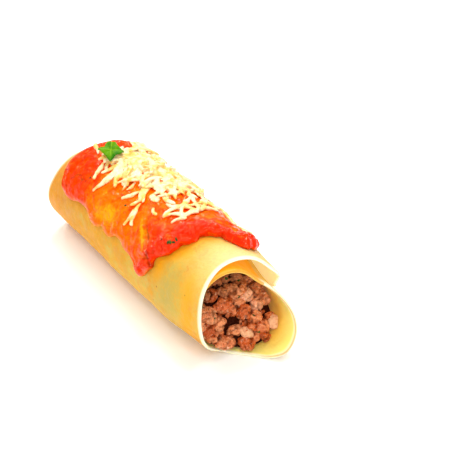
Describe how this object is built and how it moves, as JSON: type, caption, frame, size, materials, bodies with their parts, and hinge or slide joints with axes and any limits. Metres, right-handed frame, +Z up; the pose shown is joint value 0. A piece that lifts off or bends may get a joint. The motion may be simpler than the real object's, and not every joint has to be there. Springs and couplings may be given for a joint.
{
  "type": "stuffed crepe",
  "caption": "Crepe rolled round minced meat, open at both ends, topped with tomato sauce, grated cheese and a parsley leaf.",
  "frame": {"origin": "on the surface the roll lies on, under the middle of its bounding box", "axes": "+Y along the roll, away from the end shown nearest in the picture; +X towards the flap's side; +Z up"},
  "size_m": [0.0459, 0.1333, 0.0486],
  "materials": {
    "crepe": "stands in for fried crepe batter, soft satin",
    "filling": "stands in for moist cooked minced meat",
    "tomato_sauce": "stands in for wet tomato sauce",
    "grated_cheese": "stands in for half-melted grated cheese",
    "parsley_leaf": "stands in for a fresh parsley leaf"
  },
  "bodies": {
    "root": {"crepe": "crepe", "filling": "filling", "tomato_sauce": "tomato_sauce", "grated_cheese": "grated_cheese", "parsley_leaf": "parsley_leaf"}
  },
  "joints": []
}
